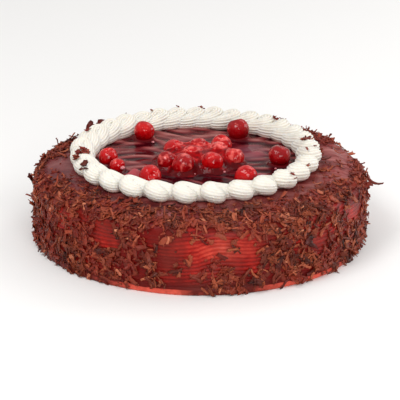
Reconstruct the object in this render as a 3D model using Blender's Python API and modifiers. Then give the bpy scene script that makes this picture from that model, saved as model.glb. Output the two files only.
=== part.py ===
"""Black forest cake: a round glazed cake with a combed side and chocolate shavings, a piped ring of
whipped cream on top, seven glazed cherries inside the ring and a heap of nine in the middle.

Metres, +Z up. The origin is the centre of the flat base, and the cake's front faces -Y.
Angles round the cake start at the front and grow towards +X.
"""

import math
import random

import bmesh
import bpy
from mathutils import Matrix, Vector

# Cake body
CAKE_RADIUS = 0.1227
CAKE_TOP = 0.0555
PLATEAU_RADIUS = 0.101
RIM_DROP = 0.0035
SHOULDER_RADIUS = 0.0095
BASE_RADIUS = 0.1201
FOOT_HEIGHT = 0.0065
COMB_PITCH = 0.0029
COMB_DEPTH = 0.0009
CAKE_STEPS = 42
SIDE_WAVE = 0.0007
COMB_WANDER = 0.0010

# Cream ring: a star-tipped strand piped in loops that lean on each other
RING_CENTRE = (-0.0035, 0.0020)
RING_RADIUS = 0.0840
RING_HALF_WIDTH = 0.0099
RING_HEIGHT = 0.0150
RING_LOOPS = 31
FIRST_LOOP = 0.17
LOOP_CROWDING = 0.18
STATIONS_PER_LOOP = 8
SECTION_POINTS = 7
LOOP_PINCH = 0.34
LOOP_SLANT = 0.06
LOOP_LEAN = 0.62

# Cherries
CHERRY_FLATNESS = 0.93
CHERRY_SEGMENTS = 10
CHERRY_RINGS = 7
STEM_PIT = 0.0011
REST_GAP = 0.0003
# Inside the ring: degrees from +X, then reach from the ring's centre and radius, in millimetres
RIM_CHERRIES = (
    (128.1, 63.6, 8.4), (58.6, 62.0, 8.9), (-6.9, 62.8, 8.8), (-54.9, 63.8, 8.6),
    (-123.5, 59.7, 8.1), (-174.7, 65.0, 7.3), (-159.2, 61.7, 5.8),
)
# Heap in the middle: x, y and radius, in millimetres
HEAP_CHERRIES = (
    (-24.8, -12.6, 7.0), (-12.7, -22.4, 8.0), (9.0, -17.0, 7.8), (25.2, -4.4, 7.1),
    (-19.1, 11.0, 7.5), (-5.1, -2.2, 7.7), (-2.0, 14.8, 7.5), (14.3, 6.1, 7.5),
    (15.9, 21.6, 7.6),
)

# Chocolate shavings fused to the cake
SIDE_SHAVINGS = 94
TOP_SHAVINGS = 36
SHAVING_LENGTH = (0.0070, 0.0120)
SHAVING_WIDTH = (0.0028, 0.0052)
SHAVING_THICKNESS = 0.0011
SHAVING_TILT = (4, 20)
# Steps of an even, unrepeating spread over an area, as shares of its two sides
SPREAD_ROUND = 0.7548777
SPREAD_UP = 0.5698403
RIM_SHAVING_RADII = (0.1050, 0.1190)
RING_CLEARANCE = 0.1030
# Bare glaze windows on the side: middle angle, middle height in mm, half angle, half height in mm
BARE_WINDOWS = (
    (-4, 30, 7, 17), (14, 28, 6, 18), (-36, 34, 6, 9), (-58, 25, 5, 12),
    (38, 30, 5, 8), (62, 30, 6, 10), (105, 28, 9, 11), (150, 26, 10, 10),
    (-100, 26, 8, 10), (-146, 30, 9, 11),
)

GLAZE_RED = (0.33, 0.035, 0.025)
CREAM_WHITE = (0.87, 0.84, 0.76)
CHERRY_RED = (0.45, 0.010, 0.012)


def clear_scene():
    """Remove every object that the scene starts with."""
    for item in list(bpy.data.objects):
        bpy.data.objects.remove(item, do_unlink=True)


def make_material(name, colour, roughness):
    """A Principled material with one colour and one roughness."""
    material = bpy.data.materials.new(name)
    material.use_nodes = True
    shader = material.node_tree.nodes["Principled BSDF"]
    shader.inputs["Base Color"].default_value = (*colour, 1.0)
    shader.inputs["Roughness"].default_value = roughness
    shader.inputs["Metallic"].default_value = 0.0
    return material


def make_object(name, mesh, collection, material=None):
    """Link a mesh to a collection under a name, smooth, with sharp edges kept."""
    item = bpy.data.objects.new(name, mesh)
    collection.objects.link(item)
    if material:
        mesh.materials.clear()
        mesh.materials.append(material)
    return item


def around(angle, radius, height):
    """The point at an angle round the cake, in radians, at a radius and a height."""
    return Vector((radius * math.sin(angle), -radius * math.cos(angle), height))


def smooth_step(t):
    """0 to 1 with a level start and end."""
    return t * t * (3 - 2 * t)


def top_height(radius):
    """Height of the cake's top: level under the ring, then falling a little to the rim."""
    rim_radius = CAKE_RADIUS - SHOULDER_RADIUS
    share = (radius - PLATEAU_RADIUS) / (rim_radius - PLATEAU_RADIUS)
    return CAKE_TOP - RIM_DROP * smooth_step(min(1.0, max(0.0, share)))


def cake_profile():
    """Half section of the cake, from the middle of the top, over the rim and down the combed side."""
    rim_radius = CAKE_RADIUS - SHOULDER_RADIUS
    shoulder_z = CAKE_TOP - RIM_DROP - SHOULDER_RADIUS
    points = [(0.0, CAKE_TOP), (0.055, CAKE_TOP), (PLATEAU_RADIUS, CAKE_TOP)]
    middle_radius = (PLATEAU_RADIUS + rim_radius) / 2
    points.append((middle_radius, top_height(middle_radius)))
    for degrees in (90, 60, 30, 0):
        turn = math.radians(degrees)
        points.append((rim_radius + SHOULDER_RADIUS * math.cos(turn),
                       shoulder_z + SHOULDER_RADIUS * math.sin(turn)))
    grooves = int((shoulder_z - FOOT_HEIGHT) / COMB_PITCH)
    for groove in range(grooves):
        groove_z = shoulder_z - (groove + 0.5) * COMB_PITCH
        points.append((CAKE_RADIUS - COMB_DEPTH, groove_z))
        points.append((CAKE_RADIUS, groove_z - COMB_PITCH / 2))
    points.append((CAKE_RADIUS - COMB_DEPTH, FOOT_HEIGHT * 0.75))
    points.append((CAKE_RADIUS + COMB_DEPTH / 2, FOOT_HEIGHT * 0.35))
    points.append((BASE_RADIUS, 0.0))
    points.append((0.0, 0.0))
    return points


def turned_mesh(name, profile, steps):
    """Turn a half section once round Z with a Screw modifier, and return the applied mesh."""
    outline = bpy.data.meshes.new(name + "_outline")
    edges = [(i, i + 1) for i in range(len(profile) - 1)]
    outline.from_pydata([(radius, 0.0, z) for radius, z in profile], edges, [])
    turned = bpy.data.objects.new(name + "_outline", outline)
    bpy.context.scene.collection.objects.link(turned)
    screw = turned.modifiers.new("turn", "SCREW")
    screw.steps = steps
    screw.render_steps = steps
    screw.use_merge_vertices = True
    screw.merge_threshold = 0.00005
    graph = bpy.context.evaluated_depsgraph_get()
    mesh = bpy.data.meshes.new_from_object(turned.evaluated_get(graph))
    bpy.data.objects.remove(turned, do_unlink=True)
    bpy.data.meshes.remove(outline)
    return mesh


def roughen_by_hand(mesh):
    """Push the side in and out a little, and let the comb lines wander up and down."""
    for vertex in mesh.vertices:
        x, y, z = vertex.co
        radius = math.hypot(x, y)
        if radius < PLATEAU_RADIUS + 0.002 or z < 0.0001:
            continue
        angle = math.atan2(x, -y)
        wave = math.sin(3 * angle + 0.6) + 0.6 * math.sin(7 * angle + 2.1 + 40 * z)
        push = 1 + SIDE_WAVE * wave / CAKE_RADIUS
        vertex.co.x = x * push
        vertex.co.y = y * push
        if FOOT_HEIGHT < z < CAKE_TOP - RIM_DROP - SHOULDER_RADIUS / 2:
            vertex.co.z = z + COMB_WANDER * math.sin(5 * angle + 1.3)


def in_bare_window(angle, height):
    """True where the side shows its combed glaze and carries no shavings."""
    for middle, mid_height, half_angle, half_height in BARE_WINDOWS:
        off = (math.degrees(angle) - middle + 180) % 360 - 180
        rise = height * 1000 - mid_height
        if (off / half_angle) ** 2 + (rise / half_height) ** 2 < 1:
            return True
    return False


def shaving_mesh(name, rng):
    """A thin tapered chip of chocolate, bent once across its middle."""
    length = rng.uniform(*SHAVING_LENGTH)
    width = rng.uniform(*SHAVING_WIDTH)
    bend = rng.uniform(0.0004, 0.0014)
    shape = bmesh.new()
    bmesh.ops.create_cube(shape, size=1.0)
    for vertex in shape.verts:
        taper = 1.0 if vertex.co.x > 0 else rng.uniform(0.35, 0.8)
        vertex.co.y *= width * taper
        vertex.co.z *= SHAVING_THICKNESS
        vertex.co.z -= bend if vertex.co.x < 0 else 0.0
        vertex.co.y += rng.uniform(-0.15, 0.15) * width
        vertex.co.x *= length * rng.uniform(0.85, 1.0)
    mesh = bpy.data.meshes.new(name)
    shape.to_mesh(mesh)
    shape.free()
    return mesh


def stick_on(item, point, normal, turn, tilt):
    """Place a shaving on the surface: turned in its plane, then tilted off it about its own width."""
    upright = normal.to_track_quat("Z", "Y").to_matrix().to_4x4()
    lie = Matrix.Rotation(turn, 4, "Z") @ Matrix.Rotation(tilt, 4, "Y")
    item.matrix_world = Matrix.Translation(point + normal * 0.0002) @ upright @ lie


def scatter_shavings(collection):
    """Shavings over the side and along the rim, evenly spread and turned every way."""
    rng = random.Random(12)
    placed = 0
    step = 0
    lowest = 0.0075
    highest = CAKE_TOP - RIM_DROP - 0.005
    while placed < SIDE_SHAVINGS:
        angle = math.tau * ((step * SPREAD_ROUND) % 1.0)
        height = lowest + (highest - lowest) * ((step * SPREAD_UP) % 1.0)
        step += 1
        if in_bare_window(angle, height):
            continue
        item = make_object(f"side_shaving_{placed}", shaving_mesh("side_shaving", rng), collection)
        tilt = math.radians(rng.uniform(*SHAVING_TILT)) * rng.choice((-1, 1))
        stick_on(item, around(angle, CAKE_RADIUS, height), around(angle, 1, 0),
                 rng.uniform(0, math.tau), tilt)
        placed += 1
    ring_centre = Vector((*RING_CENTRE, 0.0))
    placed = 0
    step = 0
    while placed < TOP_SHAVINGS:
        angle = math.tau * ((step * SPREAD_ROUND) % 1.0)
        low, high = RIM_SHAVING_RADII
        radius = low + (high - low) * ((step * SPREAD_UP + 0.3) % 1.0)
        step += 1
        over_shoulder = max(0.0, radius - (CAKE_RADIUS - SHOULDER_RADIUS))
        drop = SHOULDER_RADIUS - math.sqrt(max(0.0, SHOULDER_RADIUS**2 - over_shoulder**2))
        point = around(angle, radius, top_height(radius) - drop)
        if (Vector((point.x, point.y, 0.0)) - ring_centre).length < RING_CLEARANCE:
            continue
        item = make_object(f"rim_shaving_{placed}", shaving_mesh("rim_shaving", rng), collection)
        lean = over_shoulder / SHOULDER_RADIUS
        normal = (around(angle, lean, 0) + Vector((0, 0, 1.0 - 0.4 * lean))).normalized()
        stick_on(item, point, normal, rng.uniform(0, math.tau),
                 math.radians(rng.uniform(5, 22)) * rng.choice((-1, 1)))
        placed += 1


def keep_outer_shell(mesh):
    """Drop loose scraps and sealed hollows, so that one closed outer surface is left."""
    shape = bmesh.new()
    shape.from_mesh(mesh)
    unseen = set(shape.verts)
    shells = []
    while unseen:
        shell = {unseen.pop()}
        edge_of_search = list(shell)
        while edge_of_search:
            vertex = edge_of_search.pop()
            for edge in vertex.link_edges:
                other = edge.other_vert(vertex)
                if other in unseen:
                    unseen.discard(other)
                    shell.add(other)
                    edge_of_search.append(other)
        shells.append(shell)
    largest = max(shells, key=len)
    scraps = [vertex for vertex in shape.verts if vertex not in largest]
    bmesh.ops.delete(shape, geom=scraps, context="VERTS")
    bmesh.ops.triangulate(shape, faces=shape.faces[:])
    shape.to_mesh(mesh)
    shape.free()


def make_cake(parts, material):
    """The cake body with its shavings fused on."""
    mesh = turned_mesh("cake_body", cake_profile(), CAKE_STEPS)
    roughen_by_hand(mesh)
    cake = make_object("cake", mesh, parts, material)
    shavings = bpy.data.collections.new("shavings")
    bpy.context.scene.collection.children.link(shavings)
    scatter_shavings(shavings)
    bpy.context.view_layer.update()
    fuse = cake.modifiers.new("fuse shavings", "BOOLEAN")
    fuse.operation = "UNION"
    fuse.operand_type = "COLLECTION"
    fuse.collection = shavings
    fuse.solver = "EXACT"
    graph = bpy.context.evaluated_depsgraph_get()
    fused = bpy.data.meshes.new_from_object(cake.evaluated_get(graph))
    cake.modifiers.clear()
    cake.data = fused
    for item in list(shavings.objects):
        bpy.data.objects.remove(item, do_unlink=True)
    bpy.data.collections.remove(shavings)
    keep_outer_shell(fused)
    fused.materials.clear()
    fused.materials.append(material)
    fused.shade_smooth()
    fused.set_sharp_from_angle(angle=math.radians(40))
    return cake


def ring_point(loop, across):
    """A point of the cream ring: loop counts the loops laid so far, across runs from foot to foot.

    The section is a half ellipse, pinched between loops. Each loop starts high on the end of the
    one before and slopes down to its own end. Loops are wide at the front and crowded behind.
    """
    share = math.tau * (loop + FIRST_LOOP) / RING_LOOPS
    along = share + LOOP_CROWDING * math.sin(share)
    phase = (loop + LOOP_SLANT * math.cos(across)) % 1.0
    bulge = math.sin(math.pi * phase ** LOOP_LEAN) ** 0.6
    swell = 1 - LOOP_PINCH * (1 - bulge)
    out = RING_HALF_WIDTH * math.copysign(abs(math.cos(across)) ** 0.8, math.cos(across)) * swell
    height = RING_HEIGHT * math.sin(across) ** 0.75 * swell
    centre = Vector((*RING_CENTRE, CAKE_TOP + REST_GAP))
    return centre + around(along, RING_RADIUS + out, height)


def make_cream_ring(parts, material):
    """The piped ring, lofted from half-ellipse sections with a flat foot."""
    stations = RING_LOOPS * STATIONS_PER_LOOP
    shape = bmesh.new()
    rows = []
    for station in range(stations):
        loop = station / STATIONS_PER_LOOP
        rows.append([shape.verts.new(ring_point(loop, math.pi * i / (SECTION_POINTS - 1)))
                     for i in range(SECTION_POINTS)])
    for station in range(stations):
        row, following = rows[station], rows[(station + 1) % stations]
        for i in range(SECTION_POINTS):
            j = (i + 1) % SECTION_POINTS
            shape.faces.new((row[i], following[i], following[j], row[j]))
    bmesh.ops.triangulate(shape, faces=shape.faces[:])
    bmesh.ops.recalc_face_normals(shape, faces=shape.faces[:])
    mesh = bpy.data.meshes.new("cream_ring")
    shape.to_mesh(mesh)
    shape.free()
    mesh.shade_smooth()
    mesh.set_sharp_from_angle(angle=math.radians(60))
    return make_object("cream_ring", mesh, parts, material)


def make_cherry(name, radius, x, y, rng, parts, material):
    """One pitted cherry: an oblate ball, dimpled at the stem end and flat where it rests."""
    shape = bmesh.new()
    bmesh.ops.create_uvsphere(shape, u_segments=CHERRY_SEGMENTS, v_segments=CHERRY_RINGS,
                              radius=radius)
    for vertex in shape.verts:
        up = vertex.co.z / radius
        if up > 0.95:
            vertex.co.z -= STEM_PIT
        vertex.co.z *= CHERRY_FLATNESS
    lean = Matrix.Rotation(rng.uniform(0, math.tau), 3, "Z") @ Matrix.Rotation(
        math.radians(rng.uniform(10, 55)), 3, "X")
    bmesh.ops.rotate(shape, matrix=lean, verts=shape.verts)
    rest = radius * CHERRY_FLATNESS * 0.86
    for vertex in shape.verts:
        vertex.co.z = max(vertex.co.z, -rest)
    bmesh.ops.dissolve_degenerate(shape, edges=shape.edges[:], dist=0.00002)
    mesh = bpy.data.meshes.new(name)
    shape.to_mesh(mesh)
    shape.free()
    mesh.shade_smooth()
    cherry = make_object(name, mesh, parts, material)
    cherry.location = (x, y, CAKE_TOP + REST_GAP + rest)
    return cherry


def make_cherries(parts, material):
    """Seven cherries inside the cream ring and nine heaped in the middle."""
    rng = random.Random(5)
    for number, (degrees, reach, radius) in enumerate(RIM_CHERRIES, start=1):
        turn = math.radians(degrees)
        x = RING_CENTRE[0] + reach / 1000 * math.cos(turn)
        y = RING_CENTRE[1] + reach / 1000 * math.sin(turn)
        make_cherry(f"rim_cherry_{number}", radius / 1000, x, y, rng, parts, material)
    for number, (x, y, radius) in enumerate(HEAP_CHERRIES, start=1):
        make_cherry(f"heap_cherry_{number}", radius / 1000, x / 1000, y / 1000, rng, parts, material)


def main():
    clear_scene()
    parts = bpy.data.collections.new("black forest cake")
    bpy.context.scene.collection.children.link(parts)
    make_cake(parts, make_material("chocolate glaze", GLAZE_RED, 0.25))
    make_cream_ring(parts, make_material("whipped cream", CREAM_WHITE, 0.55))
    make_cherries(parts, make_material("cherry", CHERRY_RED, 0.12))


main()
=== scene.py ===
# %% [markdown]
# # A black forest cake, dressed over its CAD solids
#
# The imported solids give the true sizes: a round cake, a ring of piped cream, seven cherries inside
# it and nine heaped in the middle. This script lays the finished surfaces over them: a combed and
# glazed skin, a pool of glaze, a star-tipped strand of cream, fresh-looking cherries and some
# thousands of chocolate shavings. Everything is in metres, with +Z up and the front at -Y.

import math

import bpy
import numpy as np
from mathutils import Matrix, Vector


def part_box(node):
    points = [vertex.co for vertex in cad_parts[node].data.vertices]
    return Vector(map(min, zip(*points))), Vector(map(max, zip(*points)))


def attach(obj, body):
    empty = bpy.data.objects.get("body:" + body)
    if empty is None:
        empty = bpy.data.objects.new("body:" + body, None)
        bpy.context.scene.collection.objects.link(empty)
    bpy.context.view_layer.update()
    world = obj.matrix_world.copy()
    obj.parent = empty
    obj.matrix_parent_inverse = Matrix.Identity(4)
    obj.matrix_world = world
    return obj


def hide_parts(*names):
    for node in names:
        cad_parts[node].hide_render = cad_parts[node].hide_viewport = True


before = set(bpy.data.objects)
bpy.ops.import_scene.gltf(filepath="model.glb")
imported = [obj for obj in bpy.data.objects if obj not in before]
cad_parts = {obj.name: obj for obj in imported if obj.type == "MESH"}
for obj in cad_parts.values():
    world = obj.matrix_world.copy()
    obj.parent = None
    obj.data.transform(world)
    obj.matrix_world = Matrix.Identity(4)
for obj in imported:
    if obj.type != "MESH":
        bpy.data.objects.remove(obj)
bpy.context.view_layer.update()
print("solids:", ", ".join(sorted(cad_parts)))

# %% [markdown]
# ## Camera and light
# A long lens from two metres away keeps the cake's ellipse nearly flat, as a product photograph
# does. Soft light comes from a pale world and four square lamps: a glaze shows mostly what it
# mirrors, so big pale shapes above and around it are what make it look wet.

# %% Camera
VIEW_UP = math.radians(20.5)
VIEW_FAR = 1.9
AIM = np.array([0.0, 0.0, 0.0275])


def add_object(name, data):
    """A new object in the scene."""
    made = bpy.data.objects.new(name, data)
    bpy.context.scene.collection.objects.link(made)
    return made


eye = AIM + VIEW_FAR * np.array([0.0, -math.cos(VIEW_UP), math.sin(VIEW_UP)])
lens = bpy.data.cameras.new("camera")
lens.sensor_width = 36.0
lens.lens = 228.4
lens.shift_x = -0.0008
lens.shift_y = -0.0038
lens.clip_end = 20.0
camera = add_object("camera", lens)
camera.location = eye
camera.rotation_euler = (math.pi / 2 - VIEW_UP, 0.0, 0.0)
bpy.context.scene.camera = camera
bpy.context.scene.view_settings.view_transform = "Standard"
print("camera at", np.round(eye, 3))

# %% World, lamps and floor
SKY_LEVELS = ((0.0, 0.42), (0.25, 0.50), (0.5, 0.85), (1.0, 1.0))


def set_stops(ramp_node, stops):
    """Give a colour ramp its stops, as pairs of position and colour."""
    elements = ramp_node.color_ramp.elements
    while len(elements) < len(stops):
        elements.new(0.5)
    for element, (position, colour) in zip(elements, stops):
        element.position = position
        element.color = colour


world = bpy.data.worlds.new("studio")
world.use_nodes = True
air = world.node_tree
sky = air.nodes.new("ShaderNodeTexCoord")
split = air.nodes.new("ShaderNodeSeparateXYZ")
shade = air.nodes.new("ShaderNodeValToRGB")
set_stops(shade, [(up, (level, level * 0.99, level * 0.975, 1.0)) for up, level in SKY_LEVELS])
air.links.new(sky.outputs["Generated"], split.inputs[0])
air.links.new(split.outputs["Z"], shade.inputs[0])
air.links.new(shade.outputs[0], air.nodes["Background"].inputs["Color"])
air.nodes["Background"].inputs["Strength"].default_value = 0.85
bpy.context.scene.world = world


def soft_lamp(name, place, size, watts):
    """A square lamp that looks at the cake from a place."""
    light = bpy.data.lights.new(name, "AREA")
    light.size = size
    light.energy = watts
    lamp = add_object(name, light)
    lamp.location = place
    away = np.array(place) - AIM
    lamp.rotation_euler = (math.atan2(math.hypot(away[0], away[1]), away[2]), 0.0,
                           math.atan2(away[0], -away[1]))


soft_lamp("key_lamp", (-0.50, -0.50, 1.05), 0.45, 5.4)
soft_lamp("back_lamp", (0.60, 0.75, 0.95), 0.5, 1.7)
soft_lamp("side_lamp", (1.10, 0.30, 0.35), 0.6, 4.6)
soft_lamp("front_lamp", (0.35, -1.60, 0.60), 0.7, 11.2)

floor_mesh = bpy.data.meshes.new("floor")
floor_mesh.from_pydata([(-6, -6, 0), (6, -6, 0), (6, 6, 0), (-6, 6, 0)], [], [(0, 1, 2, 3)])
floor = add_object("floor", floor_mesh)
print("lamps and floor are in place")

# %% [markdown]
# ## Surfaces from arrays
# Each new shape is a grid of points worked out with numpy. Small helpers join the grid's points
# with faces, walk round its edge, and close a row of points to a pole. Another puts any points and
# faces into a mesh, with numbers stored at the points that the materials can read later. It also
# turns the mesh the right way out: a closed mesh whose volume comes out negative has its faces
# reversed.

# %% Mesh helpers
def grid_faces(rows, columns, close_rows=False, close_columns=False):
    """Four-sided faces over a grid, point (i, j) having the number i * columns + j."""
    down = np.arange(rows if close_rows else rows - 1)
    along = np.arange(columns if close_columns else columns - 1)
    i, j = np.meshgrid(down, along, indexing="ij")
    below, right = (i + 1) % rows, (j + 1) % columns
    corners = (i * columns + j, i * columns + right, below * columns + right, below * columns + j)
    return np.stack([corner.ravel() for corner in corners], axis=1)


def grid_border(rows, columns):
    """The numbers of a grid's edge points, once round."""
    ids = np.arange(rows * columns).reshape(rows, columns)
    return np.concatenate([ids[0, :-1], ids[:-1, -1], ids[-1, :0:-1], ids[:0:-1, 0]])


def pole_fan(first, count, pole, above=False):
    """Triangles from a closed row of count points, the first of them given, to a pole point."""
    now = np.arange(count)
    pair = (first + now, first + (now + 1) % count)
    return np.stack([*(pair[::-1] if above else pair), np.full(count, pole)], axis=1)


def copies(faces, points_each, count):
    """The faces of count equal shapes whose points follow each other."""
    shift = points_each * np.arange(count)[:, None, None]
    return (faces[None] + shift).reshape(-1, faces.shape[1])


def distances(x, y, places):
    """From each point to each place, measured level; the places are the last axis."""
    return np.hypot(x[..., None] - places[:, 0], y[..., None] - places[:, 1])


def xyz(x, y, z):
    """Points from their coordinates."""
    return np.stack([x, y, z], axis=-1)


def turned(u, v, angle):
    """Two coordinates turned by an angle: u cos - v sin, and u sin + v cos."""
    return u * np.cos(angle) - v * np.sin(angle), u * np.sin(angle) + v * np.cos(angle)


def make_piece(name, points, face_groups, values=None, smooth=True):
    """A mesh object from points and groups of equal-sided faces, with values at its points."""
    points = np.ascontiguousarray(points, dtype=np.float32).reshape(-1, 3)
    volume = 0.0
    for faces in face_groups:
        a = points[faces[:, 0]].astype(float)
        for k in range(1, faces.shape[1] - 1):
            b, c = points[faces[:, k]].astype(float), points[faces[:, k + 1]].astype(float)
            volume += float(np.einsum("ij,ij->", a, np.cross(b, c)))
    if volume < 0:
        face_groups = [faces[:, ::-1] for faces in face_groups]
    sides = np.concatenate([np.full(len(faces), faces.shape[1]) for faces in face_groups])
    corners = np.concatenate([faces.ravel() for faces in face_groups])
    mesh = bpy.data.meshes.new(name)
    mesh.vertices.add(len(points))
    mesh.vertices.foreach_set("co", points.ravel())
    mesh.loops.add(len(corners))
    mesh.loops.foreach_set("vertex_index", corners.astype(np.int32))
    mesh.polygons.add(len(sides))
    starts = np.concatenate([[0], np.cumsum(sides)[:-1]])
    mesh.polygons.foreach_set("loop_start", starts.astype(np.int32))
    for key, array in (values or {}).items():
        layer = mesh.attributes.new(key, "FLOAT", "POINT")
        layer.data.foreach_set("value", np.ascontiguousarray(array, dtype=np.float32).ravel())
    mesh.update(calc_edges=True)
    mesh.validate()
    if smooth:
        mesh.shade_smooth()
    piece = add_object(name, mesh)
    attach(piece, "root")
    print(f"{name}: {int((sides - 2).sum())} triangles")
    return piece


def ripples(seed, count, waves, *axes):
    """Soft noise of about -1 to 1: a sum of cosines of random wavelengths and starts.

    waves gives the shortest wavelength along each axis; each cosine is 1 to 3 times as long.
    """
    rng = np.random.default_rng(seed)
    total = 0.0
    for _ in range(count):
        phase = rng.uniform(0, math.tau)
        for wave, axis in zip(waves, axes):
            phase = phase + math.tau * axis / (wave * rng.uniform(1, 3)) * rng.choice((-1, 1))
        total = total + np.cos(phase)
    return total / math.sqrt(count) / 1.4


def smooth_step(t):
    """0 below 0, 1 above 1, and t * t * (3 - 2 t) between them."""
    t = np.clip(t, 0.0, 1.0)
    return t * t * (3 - 2 * t)


# %% [markdown]
# ## Shader maths as Python
# A node graph for a formula is easier to read as a formula. `Value` wraps an output socket and
# gives it plus, minus and times, each of which adds one Math node. `Finish` is a material that
# makes nodes, mixes colours and ends in one Principled shader.

# %% Shader helpers
def srgb(red, green, blue):
    """A screen colour of 0 to 255 as the linear colour that a shader takes."""
    linear = [((c / 255 + 0.055) / 1.055) ** 2.4 if c > 10 else c / 255 / 12.92
              for c in (red, green, blue)]
    return (*linear, 1.0)


def grey(level):
    """A colour stop that stands for a number."""
    return (level, level, level, 1.0)


class Value:
    """A number or colour that comes out of a node."""

    def __init__(self, finish, socket):
        self.finish = finish
        self.socket = socket

    def maths(self, operation, first, second):
        return self.finish.node("ShaderNodeMath", {"operation": operation},
                                {0: first, 1: second})

    def __add__(self, other):
        return self.maths("ADD", self, other)

    def __radd__(self, other):
        return self.maths("ADD", other, self)

    def __sub__(self, other):
        return self.maths("SUBTRACT", self, other)

    def __rsub__(self, other):
        return self.maths("SUBTRACT", other, self)

    def __mul__(self, other):
        return self.maths("MULTIPLY", self, other)

    def __rmul__(self, other):
        return self.maths("MULTIPLY", other, self)


class Finish:
    """A material's nodes, made by calls."""

    def __init__(self, name):
        self.material = bpy.data.materials.new(name)
        self.material.use_nodes = True
        self.tree = self.material.node_tree
        self.shader = self.tree.nodes["Principled BSDF"]
        self.place = self.node("ShaderNodeTexCoord", out="Object")

    def feed(self, socket, value):
        """Link a Value to a socket, or set the socket to a plain number or colour."""
        if isinstance(value, Value):
            self.tree.links.new(value.socket, socket)
        else:
            socket.default_value = value

    def node(self, kind, settings=None, sockets=None, out=0):
        """Any node: its settings first, a ramp's stops among them, then its sockets."""
        made = self.tree.nodes.new(kind)
        for key, value in (settings or {}).items():
            if key == "stops":
                set_stops(made, value)
            else:
                setattr(made, key, value)
        for key, value in (sockets or {}).items():
            self.feed(made.inputs[key], value)
        return Value(self, made.outputs[out])

    def along(self, axis):
        """The object coordinate along "X", "Y" or "Z", in metres."""
        return self.node("ShaderNodeSeparateXYZ", None, {0: self.place}, out=axis)

    def stored(self, name):
        """A number stored at the mesh's points."""
        return self.node("ShaderNodeAttribute", {"attribute_name": name}, out="Fac")

    def noise(self, scale, detail=3.0, stretch=(1, 1, 1)):
        """Cloudy noise of 0 to 1 with blobs of about 1 / scale metres, stretched along the axes."""
        placed = self.node("ShaderNodeMapping", None, {"Vector": self.place, "Scale": stretch})
        return self.node("ShaderNodeTexNoise", None, {"Vector": placed, "Scale": scale,
                                                      "Detail": detail, "Roughness": 0.55})

    def mix(self, share, first, second):
        """A colour between two, by a share of 0 to 1."""
        return self.node("ShaderNodeMix", {"data_type": "RGBA", "clamp_factor": True},
                         {0: share, 6: first, 7: second}, out=2)

    def ramp(self, value, *stops):
        """A colour ramp over a number."""
        return self.node("ShaderNodeValToRGB", {"stops": stops}, {0: value})

    def bump(self, height, distance, strength):
        """Bend the shading by a height map, in metres of relief."""
        relief = self.node("ShaderNodeBump", None, {"Height": height, "Distance": distance,
                                                    "Strength": strength})
        self.feed(self.shader.inputs["Normal"], relief)

    def set(self, **sockets):
        """Feed the Principled shader's sockets, named with underscores for spaces."""
        for key, value in sockets.items():
            self.feed(self.shader.inputs[key.replace("_", " ")], value)

    def put_on(self, *pieces):
        """Make this the only material of some pieces."""
        for piece in pieces:
            piece.data.materials.clear()
            piece.data.materials.append(self.material)


stone = Finish("pale floor")
stone.set(Base_Color=(0.86, 0.855, 0.85, 1.0), Roughness=0.7)
stone.put_on(floor)

# %% [markdown]
# ## The cake's skin
# The sponge and cream are hidden under glaze, so only the outline matters: a level top, a border
# that falls a little towards the rim, a rounded shoulder, an upright side that a toothed comb was
# drawn round, and a soft foot where glaze has run down. A turned half section gives the outline,
# and the comb's lines are pushed in by a cosine of height whose start wanders round the cake, as
# a hand does.

# %% The half section
CAKE_RADIUS = 0.1227
CAKE_TOP = 0.0555
PLATEAU_RADIUS = 0.101
RIM_DROP = 0.0035
SHOULDER = 0.0095
SIDE_TOP = CAKE_TOP - RIM_DROP - SHOULDER
FOOT_HEIGHT = 0.0065
FOOT_INSET = 0.0006
FOOT_BULGE = 0.0012
COMB_PITCH = 0.0029
COMB_DEPTH = 0.0004
HAND_WAVES = 0.0007
RUFFLE = 0.0003
SLOPE_STEP = 0.0004
RING_CENTRE = np.array([-0.0035, 0.0020])
RING_RADIUS = 0.0840

# The shoulder starts at this radius, which is nearly its run too, as the border falls so little
RIM_RUN = CAKE_RADIUS - SHOULDER
radii = np.linspace(0.0, RIM_RUN, 90)
fall = RIM_DROP * smooth_step((radii - PLATEAU_RADIUS) / (RIM_RUN - PLATEAU_RADIUS))
quarter = np.linspace(math.pi / 2, 0.0, 14)[1:]
side_heights = np.linspace(SIDE_TOP, FOOT_HEIGHT, 110)[1:]
foot_turn = np.linspace(0.0, math.pi * 0.86, 14)[1:]
section = np.concatenate([
    np.stack([radii, CAKE_TOP - fall], axis=1),
    np.stack([RIM_RUN + SHOULDER * np.cos(quarter),
              SIDE_TOP + SHOULDER * np.sin(quarter)], axis=1),
    np.stack([np.full_like(side_heights, CAKE_RADIUS), side_heights], axis=1),
    np.stack([CAKE_RADIUS - FOOT_INSET + FOOT_BULGE * np.sin(foot_turn),
              FOOT_HEIGHT * (1 + np.cos(foot_turn)) / 2], axis=1),
])
steps = np.hypot(*np.diff(section, axis=0).T)
section_run = np.concatenate([[0.0], np.cumsum(steps)])
FOOT_RUN = float(section_run[-1])
SIDE_RUN = float(np.interp(-SIDE_TOP, -section[:, 1], section_run))
print(f"half section: {FOOT_RUN * 1000:.0f} mm long, side starts at {SIDE_RUN * 1000:.0f} mm")


def section_at(run):
    """Radius and height of the half section at a run, the distance along it from the middle."""
    return np.interp(run, section_run, section[:, 0]), np.interp(run, section_run, section[:, 1])


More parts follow.
